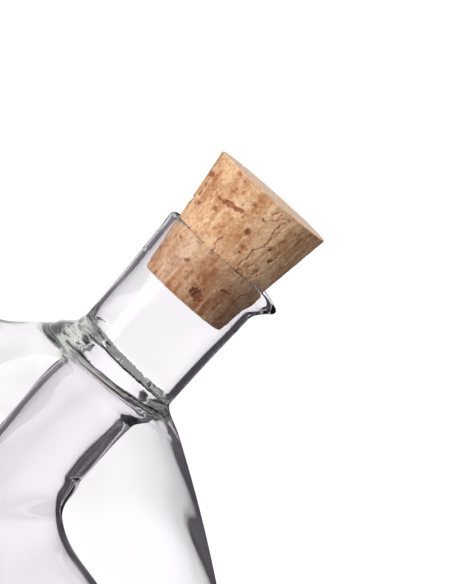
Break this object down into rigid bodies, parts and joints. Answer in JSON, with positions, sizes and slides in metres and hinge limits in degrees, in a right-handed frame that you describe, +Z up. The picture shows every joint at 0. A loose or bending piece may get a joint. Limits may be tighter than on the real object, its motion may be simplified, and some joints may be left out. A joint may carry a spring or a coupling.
{
  "type": "oil and vinegar bottle",
  "caption": "Clear glass two-in-one cruet with a small flask sealed inside, slanted pouring necks and tapered natural corks.",
  "frame": {"origin": "middle of the foot ring's plane, on the axis of the outer chamber", "axes": "+Z up along the chamber's axis; the two necks lie in the XZ plane, and the one at +X opens into the inner flask"},
  "size_m": [0.147, 0.1042, 0.1654],
  "materials": {
    "glass": "clear hand-blown glass, slightly wavy, fire-polished rims",
    "cork": "matte natural cork with brown pits and cracks"
  },
  "bodies": {
    "root": {"bottle": "glass", "cork_right": "cork", "cork_left": "cork"}
  },
  "joints": []
}
